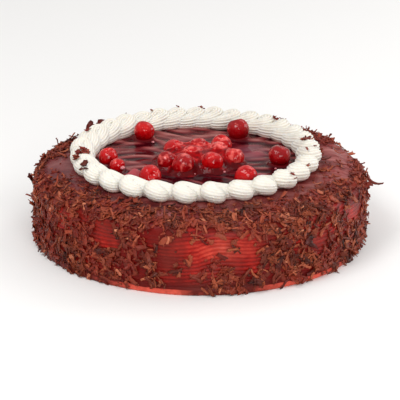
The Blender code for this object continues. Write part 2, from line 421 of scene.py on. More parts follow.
def comb_groove(turn, height):
    """How deep in a comb line a point of the side is, 0 on a ridge to 1 in a groove.

    A cosine of height over the pitch. Its start is shifted by slow waves of the angle, and by two
    bumps of it in front, where the comb was moved up and down.
    """
    wander = (0.0011 * np.sin(5 * turn + 1.3) + 0.0009 * np.sin(13 * turn + 0.4)
              - 0.0024 * np.exp(-((turn + 0.02) / 0.07) ** 2)
              + 0.0030 * smooth_step((turn - 0.22) / 0.4) * np.exp(-((turn - 0.5) / 0.5) ** 2)
              + 0.0006 * np.sin(9 * turn + 190 * height))
    wave = 0.5 + 0.5 * np.cos(math.tau * (height - wander) / COMB_PITCH)
    return wave ** 1.4


def skin(turn, run):
    """Points and outward directions of the skin at an angle from the front and a run.

    The side is pushed in and out by slow waves and in by the comb.
    """
    radius, height = section_at(run)
    ahead_r, ahead_z = section_at(np.clip(run + SLOPE_STEP, 0, FOOT_RUN))
    behind_r, behind_z = section_at(np.clip(run - SLOPE_STEP, 0, FOOT_RUN))
    along_r, along_z = ahead_r - behind_r, ahead_z - behind_z
    size = np.hypot(along_r, along_z) + 1e-12
    out_r, out_z = -along_z / size, along_r / size
    outer = smooth_step((radius - PLATEAU_RADIUS) / 0.02)
    hand = np.sin(3 * turn + 0.6) + 0.6 * np.sin(7 * turn + 2.1 + 40 * height)
    combed = (smooth_step((height - 0.0055) / 0.004)
              * smooth_step((SIDE_TOP + 0.003 - height) / 0.004))
    ruffle = RUFFLE * ripples(3, 14, (0.35, 0.012), turn, run)
    comb = COMB_DEPTH * combed * comb_groove(turn, height)
    push = outer * (HAND_WAVES * hand + (ruffle - comb))
    radius_now = radius + push * out_r
    height_now = np.maximum(height + outer * ruffle * np.maximum(out_z, 0), 0.0)
    points = xyz(radius_now * np.sin(turn), -radius_now * np.cos(turn), height_now)
    outward = xyz(out_r * np.sin(turn), -out_r * np.cos(turn), out_z)
    return points, outward


# %% The glazed body
SKIN_COLUMNS = 480
skin_runs = np.concatenate([np.linspace(0.002, 0.095, 12), np.linspace(0.097, RIM_RUN, 16)[:-1],
                            np.linspace(RIM_RUN, FOOT_RUN, 170)])
turn_grid, run_grid = np.meshgrid(np.linspace(0, math.tau, SKIN_COLUMNS, endpoint=False),
                                  skin_runs)
skin_points, _ = skin(turn_grid, run_grid)
groove = comb_groove(turn_grid, section_at(run_grid)[1])
on_side = smooth_step((run_grid - SIDE_RUN + 0.015) / 0.009)
# Where the foot shows bright glaze: angle from the front and half width, in degrees
FOOT_GLOW = np.array([(-17, 14), (42, 22), (110, 14), (168, 12), (-140, 18), (-98, 9)])
from_glow = np.abs((np.degrees(turn_grid)[..., None] - FOOT_GLOW[:, 0] + 180) % 360 - 180)
foot_glow = np.clip(2.0 - 1.8 * from_glow / FOOT_GLOW[:, 1], 0, 1).max(axis=-1)
# Painted shadow: the glaze is darkened in front of the cream ring
from_ring = np.hypot(skin_points[..., 0] - RING_CENTRE[0], skin_points[..., 1] - RING_CENTRE[1])
ring_shade = (np.exp(-(((from_ring - 0.0955) / 0.0055) ** 2))
              * smooth_step((np.cos(turn_grid) - 0.25) / 0.4))
poles = np.array([[0, 0, CAKE_TOP], [0, 0, 0]])
body_points = np.concatenate([skin_points.reshape(-1, 3), poles])
last_row = (len(skin_runs) - 1) * SKIN_COLUMNS
body = make_piece(
    "glazed_body", body_points,
    [grid_faces(len(skin_runs), SKIN_COLUMNS, close_columns=True),
     pole_fan(0, SKIN_COLUMNS, len(body_points) - 2, above=True),
     pole_fan(last_row, SKIN_COLUMNS, len(body_points) - 1)],
    {key: np.append(grid, [0, 0]) for key, grid in (
        ("groove", groove), ("side", on_side), ("foot_glow", foot_glow),
        ("ring_shade", ring_shade))})
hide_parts("cake")

# %% [markdown]
# The glaze is a red jelly. Where the comb scraped it thin over pale cream it is a bright coral, and
# where it has gathered in the grooves, or lies thick on the dark top, it is nearly black. So one
# material goes from ridge colour to groove colour by the groove number, and from side to top by the
# side number. Noise and soft bands of height vary the thickness. The index of refraction is low, so
# that the pale sky that the glaze mirrors doesn't turn its red to grey.

# %% Glaze on the body
# Height in millimetres, and how thinly the glaze lies there
BANDS = ((8, 0.22), (13, 0.20), (17, 0.40), (22, 0.26), (26, 0.32), (30, 0.62), (39, 0.66),
         (44, 0.46), (50, 0.34))
BANDS_TOP = 60

glaze = Finish("cherry glaze")
height_up = glaze.along("Z")
patches = glaze.noise(30, 4.0)
fine = glaze.noise(420, 3.0)
bands = glaze.ramp(height_up * (1000 / BANDS_TOP) + (patches - 0.5) * 0.15,
                   *((level / BANDS_TOP, grey(share)) for level, share in BANDS))
side_tone = ((1 - glaze.stored("groove")) * 0.22 + (patches - 0.5) * 2.2 + (fine - 0.5) * 0.35
             + bands * 0.8 - 0.37)
side_colour = glaze.ramp(side_tone, (0.0, srgb(104, 12, 8)), (0.35, srgb(158, 28, 20)),
                         (0.7, srgb(194, 64, 48)), (1.0, srgb(222, 102, 84)))
foot = glaze.ramp(height_up * 100 + (patches - 0.5) * 0.5, (0.0, srgb(214, 92, 74)),
                  (0.40, srgb(204, 78, 62)), (0.46, srgb(86, 12, 10)), (0.95, srgb(96, 14, 12)))
foot_light = glaze.stored("foot_glow") + (glaze.noise(150, 3.0) - 0.5) * 1.6
foot = glaze.mix(foot_light, srgb(92, 26, 20), foot)
smears = glaze.ramp(glaze.noise(34, 3.0, (1, 1, 0.6)), (0.46, grey(0.0)), (0.62, grey(0.6)))
side_colour = glaze.mix(smears, side_colour, srgb(104, 34, 26))
foot_share = glaze.ramp(height_up * 100, (0.75, grey(1.0)), (1.0, grey(0.0)))
side_colour = glaze.mix(foot_share, side_colour, foot)
# Painted reflection: the top's pale mauve stands for the pale sky mirrored in the glaze
top_colour = glaze.ramp(glaze.noise(55, 4.0, (0.6, 1.5, 1)), (0.3, srgb(92, 26, 26)),
                        (0.5, srgb(128, 52, 50)), (0.72, srgb(170, 100, 96)))
# Painted shade: the top glaze is painted darker towards the left
top_colour = glaze.mix(glaze.along("X") * -4.5, top_colour, srgb(80, 34, 42))
# Painted shadow in front of the ring
top_colour = glaze.mix(glaze.stored("ring_shade") * 0.8, top_colour, srgb(70, 20, 22))
glaze.set(Base_Color=glaze.mix(glaze.stored("side"), top_colour, side_colour),
          Roughness=0.24 + glaze.stored("side") * 0.16, IOR=1.22)
glaze.bump(fine + patches * 2, 0.0006, 0.5)
glaze.put_on(body)

# %% [markdown]
# ## The pool of glaze
# Inside the cream ring the glaze was poured, pushed about with a palette knife in long strokes,
# and it climbs a little way up each cherry, as water climbs a glass. The pool is a height map on a
# disc: knife strokes are noise stretched along X, and each cherry adds a rim that fades with the
# distance from its side. A square grid is bent to a disc by the usual square roots.

# %% Where the cherries are
cherry_names = sorted(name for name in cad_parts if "cherry" in name)
corners = np.array([[tuple(corner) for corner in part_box(name)] for name in cherry_names])
cherry_centres = corners.mean(axis=1)
cherry_sizes = corners[:, 1] - corners[:, 0]
in_heap = np.array([name.startswith("heap") for name in cherry_names])
# The heaped cherries are a little fuller than their solids and press on each other
HEAP_SWELL = 1.09
CHERRY_SQUASH = 0.94
cherry_sizes[in_heap] *= HEAP_SWELL
print(f"{len(cherry_names)} cherries, {cherry_sizes[:, :2].mean() * 1000:.1f} mm across")

# %% The pool's surface
POOL_GRID = 270
POOL_RADIUS = 0.0835
POOL_LIFT = 0.0008
SUNK_EDGE = CAKE_TOP - 0.0006
STROKE_RELIEF = 0.00042
DAB_RELIEF = 0.00016
CLIMB = 0.0024
HEAP_CLIMB = 0.0022
CLIMB_REACH = 0.0013
# Soft mounds in the glaze: x, y and height
MOUNDS = np.array([[-0.0475, -0.0330, 0.0064], [-0.0500, -0.0400, 0.0030],
                   [0.0440, -0.0310, 0.0018], [0.0430, 0.0200, 0.0012]])
MOUND_SPREAD = 0.0062

a, b = np.meshgrid(np.linspace(-1, 1, POOL_GRID), np.linspace(-1, 1, POOL_GRID))
pool_x = RING_CENTRE[0] + POOL_RADIUS * a * np.sqrt(1 - b * b / 2)
pool_y = RING_CENTRE[1] + POOL_RADIUS * b * np.sqrt(1 - a * a / 2)
gap = np.maximum(distances(pool_x, pool_y, cherry_centres) - 0.97 * cherry_sizes[:, 0] / 2, 0.0)
climb = np.where(in_heap, HEAP_CLIMB, CLIMB) * np.exp(-((gap / CLIMB_REACH) ** 1.2))
climb = (climb ** 3).sum(axis=-1) ** (1 / 3)
strokes = ripples(21, 26, (0.024, 0.0085), pool_x,
                  pool_y + 0.12 * pool_x + 0.004 * np.sin(pool_x / 0.017 + 1))
dabs = ripples(22, 18, (0.016, 0.009), pool_x, pool_y)
mound_gap = distances(pool_x, pool_y, MOUNDS)
mounds = (MOUNDS[:, 2] * np.exp(-((mound_gap / MOUND_SPREAD) ** 2))).sum(axis=-1)
# The glaze is painted lighter behind, darker in front as painted shade, and darker on the right
lighter_behind = (0.10 * smooth_step((pool_y - 0.025) / 0.03)
                  - 0.34 * smooth_step((-0.016 - pool_y) / 0.022)
                  - 0.14 * smooth_step((pool_x - 0.022) / 0.02))
# Painted reflection: a smooth, pale patch right of the heap. Painted shade: the dark glaze just in
# front of each cherry
painted_reflection_patch = np.exp(-(np.hypot((pool_x - 0.0385) / 0.0115, (pool_y - 0.024) / 0.019) ** 4))
strokes = strokes * (1 - 0.8 * painted_reflection_patch)
pool_z = CAKE_TOP + POOL_LIFT + STROKE_RELIEF * strokes + DAB_RELIEF * dabs + climb + mounds
# Painted shade: the glaze is darkened just in front of each cherry
before_cherry = np.hypot(pool_x[..., None] - cherry_centres[:, 0],
                         0.75 * (pool_y[..., None] - cherry_centres[:, 1] + 0.009))
shaded = np.exp(-((before_cherry / 0.0105) ** 4)).max(axis=-1)
pool_z = np.maximum(pool_z, CAKE_TOP + 0.0002)
pool_rim = grid_border(POOL_GRID, POOL_GRID)
pool_z.flat[pool_rim] = SUNK_EDGE
pool = make_piece("glaze_pool", xyz(pool_x, pool_y, pool_z),
                  [grid_faces(POOL_GRID, POOL_GRID), pool_rim[None, ::-1]],
                  {"thick": np.clip(climb / 0.004, 0, 1),
                   "mound": np.clip(mounds / 0.0022, 0, 1),
                   "pale": painted_reflection_patch * (1 - shaded),
                   "stroke": (0.5 + 0.52 * strokes + lighter_behind
                              + 0.18 * painted_reflection_patch - 0.38 * shaded)})

# %% [markdown]
# The heap is drowned in jelly, up to the cherries' shoulders in its middle and to their feet at its
# edge. The jelly is a low, wide mound, and each heaped cherry adds a bump, a share of its height
# times exp(-(distance / reach) ** 4). All are joined by a power sum, which lies between a maximum
# and a sum, so the jelly stands highest where several cherries meet.

# %% Jelly over the heap
JELLY_SHARE = 0.45
JELLY_REACH = 1.13
JELLY_POWER = 1.3
JELLY_MOUND = 0.0096
MOUND_MIDDLE = (-0.001, 0.002)
MOUND_HALF = (0.030, 0.0235)
JELLY_MARGIN = 0.007
JELLY_STEP = 0.00035

heap_low = corners[in_heap, 0, :2].min(axis=0) - JELLY_MARGIN
heap_high = corners[in_heap, 1, :2].max(axis=0) + JELLY_MARGIN
film_x, film_y = np.meshgrid(np.arange(heap_low[0], heap_high[0], JELLY_STEP),
                             np.arange(heap_low[1], heap_high[1], JELLY_STEP))
film_radius = cherry_sizes[in_heap, :2].mean(axis=1) / 2
film_far = distances(film_x, film_y, cherry_centres[in_heap])
domes = np.where(film_far < film_radius, cherry_centres[in_heap, 2] + CHERRY_SQUASH * np.sqrt(
    np.maximum(film_radius ** 2 - film_far ** 2, 0)), CAKE_TOP - 0.010).max(axis=-1)
bumps = (JELLY_SHARE * (corners[in_heap, 1, 2] - CAKE_TOP)
         * np.exp(-((film_far / (JELLY_REACH * film_radius)) ** 4)))
mound_far = np.hypot((film_x - MOUND_MIDDLE[0]) / MOUND_HALF[0],
                     (film_y - MOUND_MIDDLE[1]) / MOUND_HALF[1])
mound = JELLY_MOUND * np.exp(-(mound_far ** 6))
film_up = ((bumps ** JELLY_POWER).sum(axis=-1) + mound ** JELLY_POWER) ** (1 / JELLY_POWER)
film_up = film_up * (1 + 0.05 * ripples(25, 14, (0.007, 0.006), film_x, film_y))
film_z = CAKE_TOP + film_up
above_cherry = film_z - domes
film_z = np.maximum(film_z, CAKE_TOP - 0.0005)
film_rim = grid_border(*film_z.shape)
film_z.flat[film_rim] = SUNK_EDGE
# Painted highlight: a pale pink line where the jelly meets a cherry
film = make_piece("heap_jelly", xyz(film_x, film_y, film_z),
                  [grid_faces(*film_z.shape), film_rim[None, ::-1]],
                  {"lip": np.exp(-(((above_cherry - 0.0004) / 0.00045) ** 2)),
                   "high": film_up / 0.013})

# %% [markdown]
# The jelly is bright red where it is high, with pink spots of painted highlight, and dark at its
# edge, and its lip, where it thins out against a cherry, is painted pale pink as a painted
# highlight. The poured glaze is nearly black in its furrows and has painted sheen on its knife
# strokes; it is painted dark in front of the cherries as painted shade, and painted mauve on the
# smooth patch as a painted reflection. Both are very smooth, under a slow bump.

# %% Glaze and jelly inside the ring
syrup = Finish("jelly film")
# Painted highlights: the sharpened noise gives pink spots at its high values
syrup_tone = (syrup.noise(170, 3.0) - 0.5) * 1.5 + 0.5
syrup_colour = syrup.ramp(syrup_tone + (syrup.stored("high") - 0.70) * 0.55,
                          (0.24, srgb(84, 10, 14)), (0.44, srgb(120, 2, 8)),
                          (0.68, srgb(162, 4, 10)), (0.88, srgb(222, 88, 82)))
syrup.set(Base_Color=syrup.mix(syrup.stored("lip") * 0.55, syrup_colour, srgb(232, 116, 110)),
          Roughness=0.05, IOR=1.18)
syrup.bump(syrup.noise(240, 2.0), 0.0010, 0.7)
syrup.put_on(film)

jelly = Finish("poured glaze")
# The stored number holds painted light and shade: sheen on the strokes' crests, lighter behind,
# shade in front and before each cherry
jelly_tone = (jelly.stored("stroke") * 0.7
              + (jelly.noise(70, 4.0, (0.4, 1.5, 1)) - 0.5) * 0.9 + 0.10)
jelly_colour = jelly.ramp(jelly_tone, (0.16, srgb(48, 2, 9)), (0.42, srgb(92, 22, 28)),
                          (0.62, srgb(132, 60, 60)), (0.9, srgb(160, 102, 98)))
# Painted reflection: the pale patch is mixed toward mauve
jelly_colour = jelly.mix(jelly.stored("pale") * 0.6, jelly_colour, srgb(108, 62, 76))
jelly_colour = jelly.mix(jelly.stored("thick"), jelly_colour, srgb(112, 6, 12))
jelly_colour = jelly.mix(jelly.stored("mound"), jelly_colour, srgb(164, 72, 78))
jelly.set(Base_Color=jelly_colour, Roughness=0.10, IOR=1.18)
jelly.bump(jelly.noise(80, 3.0, (0.35, 1.4, 1)), 0.0012, 0.6)
jelly.put_on(pool)

# %% [markdown]
# ## The piped ring
# The cream is one strand from a star tip, laid down in loops that lean on each other. The strand's
# middle line goes round a small circle while the circle's centre travels round the ring, which is
# a trochoid. Its section is a circle with sixteen teeth, deeper behind than in front. Each new loop
# climbs over the end of the last one, so the line also rises and falls once a loop. Points that
# would sink into the cake are held at its top, which flattens the foot as soft cream does.

# %% The strand of cream
LOOPS = 31
CROWDING = 0.18
STRAND_STATIONS = 40
STRAND_TEETH = 16
STRAND_RADIUS = 0.0060
LOOP_OUT = 0.0038
LOOP_ALONG = 0.0066
STRAND_LIFT = 0.0038
LOOP_START = -0.07
# Depth of the teeth and strength of the painted shade in the folds: in front, and what is added
# behind
TOOTH_DEPTH = (0.07, 0.17)
FOLD_SHADE_DEPTH = (0.65, 0.65)

wave = np.linspace(0, math.tau * LOOPS, LOOPS * STRAND_STATIONS, endpoint=False)


def strand_line(wave):
    """The strand's middle line: a circle whose centre travels round the ring.

    Each circle leans back on the one before: its trailing side, at a quarter of the way round, is
    the high one. The loops are wide at the front and crowded behind.
    """
    share = wave / LOOPS + LOOP_START
    travel = share + CROWDING * np.sin(share)
    behind = 0.5 - 0.5 * np.cos(travel)
    uneven = (1 + 0.05 * np.sin(3 * share + 1) + 0.06 * np.sin(11 * share)
              + 0.04 * np.sin(17 * share + 2))
    out = RING_RADIUS + LOOP_OUT * uneven * np.cos(wave)
    along = LOOP_ALONG * (1 + CROWDING * np.cos(share)) * (1 + 0.35 * behind)
    turn = travel - along / RING_RADIUS * np.sin(wave)
    rise = STRAND_RADIUS * 0.74 + STRAND_LIFT * uneven * (
        0.5 + 0.5 * np.sin(wave + 0.35 + 0.6 * behind)) ** 1.5
    return xyz(RING_CENTRE[0] + out * np.sin(turn), RING_CENTRE[1] - out * np.cos(turn),
               CAKE_TOP + rise)


line = strand_line(wave)
ahead = strand_line(wave + 0.02) - strand_line(wave - 0.02)
ahead /= np.linalg.norm(ahead, axis=1, keepdims=True)
across = np.cross(ahead, [0.0, 0.0, 1.0])
across /= np.linalg.norm(across, axis=1, keepdims=True)
above = np.cross(across, ahead)
around = np.linspace(0, math.tau, STRAND_TEETH * 4, endpoint=False)
twist = 0.35 * np.sin(wave / LOOPS * 5)[:, None]
tooth = np.abs(np.cos(STRAND_TEETH / 2 * (around[None, :] + twist)))
far_side = (0.5 - 0.5 * np.cos(wave / LOOPS))[:, None]
tooth_depth = TOOTH_DEPTH[0] + TOOTH_DEPTH[1] * far_side
fold_shade_depth = FOLD_SHADE_DEPTH[0] + FOLD_SHADE_DEPTH[1] * far_side
swelling = (1 + 0.14 * np.sin(wave + 0.2))[:, None]
reach = STRAND_RADIUS * (1 - tooth_depth * (1 - tooth ** 0.8)) * swelling
reach = reach * (1 + 0.035 * ripples(31, 12, (2.5, 1.5), wave[:, None], around[None, :]))
strand_points = (line[:, None] + reach[..., None] * (
    np.cos(around)[None, :, None] * across[:, None]
    + np.sin(around)[None, :, None] * above[:, None]))
strand_points[..., 2] = np.maximum(strand_points[..., 2], CAKE_TOP + 0.0003)
cream_ring = make_piece(
    "piped_cream", strand_points,
    [grid_faces(len(wave), len(around), close_rows=True, close_columns=True)],
    {"valley": (1 - tooth) * fold_shade_depth})
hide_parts("cream_ring")

# %% [markdown]
# Whipped cream is white, full of tiny bubbles, and light goes a little way into it. The folds
# between the ridges are painted warmer and darker as painted shade, more so behind, and a number
# stored at the points leads the colour there; the colour also turns pink towards the foot.
# Subsurface scattering softens the ridges' shadows, and a thin clear coat gives the sheen of fat.

# %% Cream
cream = Finish("whipped cream")
valley = cream.stored("valley")
# Painted shade: the folds are mixed toward a darker, warmer colour
cream_colour = cream.mix(valley * valley * 0.7, srgb(229, 225, 215), srgb(200, 187, 170))
near_foot = cream.ramp((cream.along("Z") - 0.0565) * 250 + (cream.noise(300) - 0.5) * 0.5,
                       (0.0, grey(1.0)), (0.5, grey(0.15)), (1.0, grey(0.0)))
cream.set(Base_Color=cream.mix(near_foot, cream_colour, srgb(228, 194, 180)), Roughness=0.5,
          Subsurface_Weight=0.20, Subsurface_Radius=(0.004, 0.003, 0.002), Subsurface_Scale=1.0,
          Coat_Weight=0.08, Coat_Roughness=0.3)
cream.bump(cream.noise(1100, 3.0) + cream.noise(320, 2.0) * 2.0, 0.0006, 0.5)
cream.put_on(cream_ring)

# %% [markdown]
# ## The cherries
# Pitted cherries are a little flattened, dented where the stem was, and never quite round. Each
# one is a ball of latitude and longitude lines, drawn in at the stem pole and swollen and pinched
# by slow noise, then leaned over at random and set where its own solid is.

# %% Cherries
CHERRY_ROWS = 30
CHERRY_COLUMNS = 48
CHERRY_SEED = 100
rows, columns = np.meshgrid(np.linspace(0, math.pi, CHERRY_ROWS + 2)[1:-1],
                            np.linspace(0, math.tau, CHERRY_COLUMNS, endpoint=False),
                            indexing="ij")
# A ball of radius 1, from the top pole down row by row
angles = np.concatenate([[0.0], rows.ravel(), [math.pi]])
spins = np.concatenate([[0.0], columns.ravel(), [0.0]])
ball = xyz(np.sin(angles) * np.cos(spins), np.sin(angles) * np.sin(spins), np.cos(angles))


def cherry_points(seed):
    """The ball times 1 + lumps - a crease - a dent at the stem pole, and then squashed."""
    lumps = 0.035 * ripples(seed, 9, (1.1, 1.1, 1.1), *ball.T)
    crease = (0.035 * np.exp(-((ball[:, 1] / 0.10) ** 2)) * np.clip(ball[:, 0], 0, 1)
              * np.sin(angles))
    dent = 0.30 * np.exp(-((angles / 0.30) ** 2))
    shape = ball * (1 + lumps - crease - dent)[:, None]
    shape[:, 2] *= CHERRY_SQUASH
    return shape


def lean(points, spin, tilt):
    """Tilt points about X, then spin them about Z."""
    x, y, z = points.T
    y, z = turned(y, z, tilt)
    x, y = turned(x, y, spin)
    return xyz(x, y, z)


# The darker cherries, and how dark the others are
RIPE = {"rim_cherry_2": 0.6, "rim_cherry_3": 0.65, "heap_cherry_1": 0.6, "heap_cherry_7": 0.5,
        "heap_cherry_2": 0.45}
PLAIN_RIPE = 0.15
# Those with larger painted highlights: pale patches where thick syrup catches the light
SHINE = {"heap_cherry_4": 0.12, "heap_cherry_8": 0.12, "heap_cherry_9": 0.05, "heap_cherry_2": 0.04}
cherry_rng = np.random.default_rng(8)
low_row = 1 + (CHERRY_ROWS - 1) * CHERRY_COLUMNS
ball_faces = [grid_faces(CHERRY_ROWS, CHERRY_COLUMNS, close_columns=True) + 1,
              pole_fan(1, CHERRY_COLUMNS, 0, above=True),
              pole_fan(low_row, CHERRY_COLUMNS, low_row + CHERRY_COLUMNS)]
cherries = []
for number, name in enumerate(cherry_names):
    shape = lean(cherry_points(CHERRY_SEED + number), cherry_rng.uniform(0, math.tau),
                 cherry_rng.uniform(0.2, 1.1))
    half = cherry_sizes[number, :2].mean() / 2 * cherry_rng.uniform(1.0, 1.05)
    placed = shape * half + cherry_centres[number]
    placed[:, 2] = np.maximum(placed[:, 2], corners[number, 0, 2] - 0.0002)
    crown = 0.5 + 0.5 * (placed[:, 2] - cherry_centres[number, 2]) / half
    piece = make_piece("glazed_" + name, placed, ball_faces,
                       {"crown": crown, "ripe": np.full(len(placed), RIPE.get(name, PLAIN_RIPE)),
                        "shine": np.full(len(placed), SHINE.get(name, 0.0))})
    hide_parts(name)
    cherries.append(piece)

# %% [markdown]
# The fruit is a clear deep red that looks darker where it is thick, under a shell of syrup, and its
# top is painted a little lighter, as painted light from above. Slow noise in the colour gives the
# mottling, and pale patches are painted highlights, for the light caught in the syrup.
# A very smooth skin gives sharp highlights, which a slow bump breaks up as syrup does.

# %% Cherry skin
fruit = Finish("cherry")
mottle = fruit.noise(160, 3.0)
crown_up = fruit.stored("crown")
# Painted light: the crown number makes the tops a little lighter and their pale patches larger
fruit_colour = fruit.ramp(mottle + (crown_up - 0.5) * 0.12, (0.2, srgb(104, 0, 6)),
                          (0.45, srgb(176, 2, 8)), (0.75, srgb(210, 20, 20)))
pale = fruit.ramp(fruit.noise(190, 2.0) + (crown_up - 0.5) * 0.12 + fruit.stored("shine"),
                  (0.63, grey(0.0)), (0.70, grey(0.42)), (0.80, grey(0.8)))
fruit_colour = fruit.mix(fruit.stored("ripe"), fruit_colour, srgb(108, 2, 10))
fruit.set(Base_Color=fruit.mix(pale, fruit_colour, srgb(236, 108, 100)),
          Roughness=0.05, IOR=1.36, Subsurface_Weight=0.15,
          Subsurface_Radius=(0.005, 0.0008, 0.0006), Subsurface_Scale=1.0)
fruit.bump(fruit.noise(200, 2.0), 0.0012, 0.7)
fruit.put_on(*cherries)

# %% [markdown]
# Syrup has run off the heap in a few small beads, which catch the light at its foot. A bead is the
# same ball of lines, lower than it is wide, and sunk a little into the glaze.

# %% Beads of syrup
# Middle x, y and height over the cake's top, and radius, in millimetres
BEADS = [(-57.3, -23.7, 5.0, 1.9), (-4.3, -27.3, 1.3, 1.0), (17.8, -22.6, 1.3, 1.1),
         (-36.0, 44.2, 1.3, 1.2), (21.5, 46.4, 1.3, 0.9), (33.6, -12.4, 1.3, 1.0),
         (55.7, -15.4, 1.3, 1.0)]
BEAD_SQUASH = 0.75
bead_list = np.array(BEADS) / 1000
bead_points = ball * (1, 1, BEAD_SQUASH) * bead_list[:, None, 3:4] + bead_list[:, None, :3]
bead_points[..., 2] += CAKE_TOP
beads = make_piece("syrup_beads", bead_points,
                   [copies(faces, len(ball), len(bead_list)) for faces in ball_faces])

# Painted highlight: the beads are pale pink, as glints of syrup
bead_finish = Finish("syrup bead")
bead_finish.set(Base_Color=srgb(196, 118, 122), Roughness=0.08, IOR=1.5)
bead_finish.put_on(beads)

# %% [markdown]
# ## Chocolate shavings
# The side and the border are covered by hand with shaved chocolate. A shaving is a small curved
# plate with ragged edges: a grid along and across it, bent on an arc, twisted, tapered and given a
# thickness. All shavings of a kind are worked out at once, as arrays of (shaving, point, axis), and
# then stood on the skin with their own turn and tilt. Where they lie is chosen by chance, weighed
# by how well each place is covered: the clumps, and the windows where the combed glaze shows, are
# ellipses of angle and height.

# %% How well each place is covered
# Bare places on the side: angle and height of the middle, half angle and half height, in
# degrees and millimetres
SIDE_GAPS = np.array([
    (-6, 27, 11, 25), (13.5, 29, 8.5, 20), (4, 38, 8, 12), (-34.3, 39, 7.2, 13),
    (-15.8, 39.5, 1.8, 4), (-20.5, 13.5, 2.8, 6), (-38.3, 4.6, 3.6, 3.5), (-54.7, 43, 3, 5.5),
    (-54, 32, 5.5, 4.5), (44, 27, 5.5, 9), (50, 35, 2, 6.5), (56.5, 47, 5, 6), (68, 39, 9.5, 14),
    (109, 48, 14, 7), (-4, 7, 9, 9), (-16, 3, 9, 4.5), (26, 3.5, 9, 4.5), (38.3, 9.6, 2.7, 5),
    (105, 28, 9, 11), (150, 26, 10, 10), (-100, 26, 8, 10), (-146, 30, 9, 11), (180, 30, 6, 13),
    (80, 20, 5, 8), (-76, 16, 5, 7)])
# Places in those gaps that are covered after all
SIDE_CLUMPS = np.array([
    (8, 13, 3.2, 15), (3.2, 43.5, 1.3, 2.6), (-4.1, 26, 1.3, 2.6), (11.2, 36, 1.6, 2.4),
    (-1.1, 10, 1.8, 2.6), (20, 31, 2.2, 5), (-8, 17, 1.8, 3)])
# The same for the border, with radii in place of heights
TOP_GAPS = np.array([
    (-87, 108, 17, 15), (-127, 115, 10, 6), (92, 105, 26, 12), (108, 113, 16, 14),
    (170, 108, 16, 6), (-160, 108, 9, 5)])
TOP_CLUMPS = np.array([
    (-108, 116, 10, 6), (84, 125, 7, 4.5), (136, 119, 14, 7), (57, 121, 9, 6),
    (-138, 121, 4, 4), (87, 104, 3, 3)])
# How far from the cream's middle line the shavings start, and how many are drawn for each kept
RING_CLEAR = 0.0095
DRAWS = 12


def in_ellipses(turn, level, ellipses, soften):
    """1 inside any of the ellipses and 0 outside, with soft and noisy edges."""
    turn_off = (np.degrees(turn)[:, None] - ellipses[:, 0] + 180) % 360 - 180
    level_off = level[:, None] * 1000 - ellipses[:, 1]
    inside = 1 - np.hypot(turn_off / ellipses[:, 2], level_off / ellipses[:, 3]).min(axis=1)
    return smooth_step((inside + soften) * 2.5)


def cover(turn, run):
    """The share of a place that shavings cover, 0 to 1."""
    radius, height = section_at(run)
    ragged = 0.20 * ripples(41, 16, (0.05, 0.004), turn, run)
    clumps = ripples(42, 18, (0.08, 0.009), turn, run)
    side = np.clip(0.80 + 0.42 * clumps, 0.08, 1.0)
    side *= 1 - 0.97 * in_ellipses(turn, height, SIDE_GAPS, ragged)
    side = np.maximum(side, 0.9 * in_ellipses(turn, height, SIDE_CLUMPS, ragged))
    side *= smooth_step((height - 0.001) / 0.006) * 0.6 + 0.4
    facing = smooth_step((math.radians(75) - np.abs(turn)) / 0.5)
    inward = smooth_step((radius - 0.096) / 0.016)
    top = np.clip((0.10 + 0.72 * inward) * (0.75 + 0.55 * facing) + 0.32 * clumps, 0.02, 1.0)
    top *= 1 - 0.91 * in_ellipses(turn, radius, TOP_GAPS, ragged)
    top = np.maximum(top, 0.9 * in_ellipses(turn, radius, TOP_CLUMPS, ragged))
    return np.where(run > RIM_RUN + 0.006, side, top)


def scatter(seed, count, low_run, high_run):
    """Angles and runs of so many shavings, drawn evenly over the skin and kept by its cover."""
    rng = np.random.default_rng(seed)
    turn = rng.uniform(-math.pi, math.pi, count * DRAWS)
    run = rng.uniform(low_run, high_run, count * DRAWS)
    radius, _ = section_at(run)
    off_ring = np.hypot(radius * np.sin(turn) - RING_CENTRE[0],
                        -radius * np.cos(turn) - RING_CENTRE[1])
    covered = rng.uniform(0, 1, count * DRAWS) < cover(turn, run)
    chosen = np.flatnonzero(covered & (off_ring > RING_RADIUS + RING_CLEAR))[:count]
    return rng, turn[chosen], run[chosen]


# %% One kind of shaving, all at once
def shavings(rng, count, length, width, thick, bend, cells, ragged):
    """Points (count, point, 3) and the faces of curved plates of one kind.

    Along the plate u runs from -1/2 to 1/2 on an arc: x = L sin(B u) / B, z = L (1 - cos(B u)) / B.
    Across it v runs from -1/2 to 1/2, narrowed towards one end and ragged at the edges, with a
    hollow of v squared. The under side is the same sheet, one thickness lower.
    """
    nu, nv = cells[0] + 1, cells[1] + 1
    u, v = np.meshgrid(np.linspace(-0.5, 0.5, nu), np.linspace(-0.5, 0.5, nv), indexing="ij")
    u, v = u.ravel()[None], v.ravel()[None]
    one = (count, 1)
    long = rng.uniform(*length, one) * rng.uniform(0.7, 1.0, one)
    wide = rng.uniform(*width, one)
    arc = rng.uniform(*bend, one)
    taper = 1 - rng.uniform(0.1, 0.75, one) * (u + 0.5) * rng.choice((0.3, 1.0), one)
    tear = rng.uniform(-ragged, ragged, (count, u.shape[1]))
    x = long * np.sin(arc * (u + tear * 0.18)) / arc
    z = long * (1 - np.cos(arc * u)) / arc + wide * rng.uniform(-0.9, 0.9, one) * v * v
    y = wide * (v * taper + 0.35 * tear * v) + long * rng.uniform(-0.35, 0.35, one) * u * u
    y, z = turned(y, z, rng.uniform(-0.5, 0.5, one) * u)
    depth = thick * rng.uniform(0.6, 1.3, one) * np.ones_like(x)
    upper = xyz(x, y, z + depth / 2)
    under = xyz(x, y, z - depth / 2)
    sheet, loop = grid_faces(nu, nv), grid_border(nu, nv)
    onward = np.roll(loop, -1)
    wall = np.stack([loop, loop + nu * nv, onward + nu * nv, onward], axis=1)
    faces = np.concatenate([sheet, sheet[:, ::-1] + nu * nv, wall])
    return np.concatenate([upper, under], axis=1), faces


TILT_SPREAD = 0.15


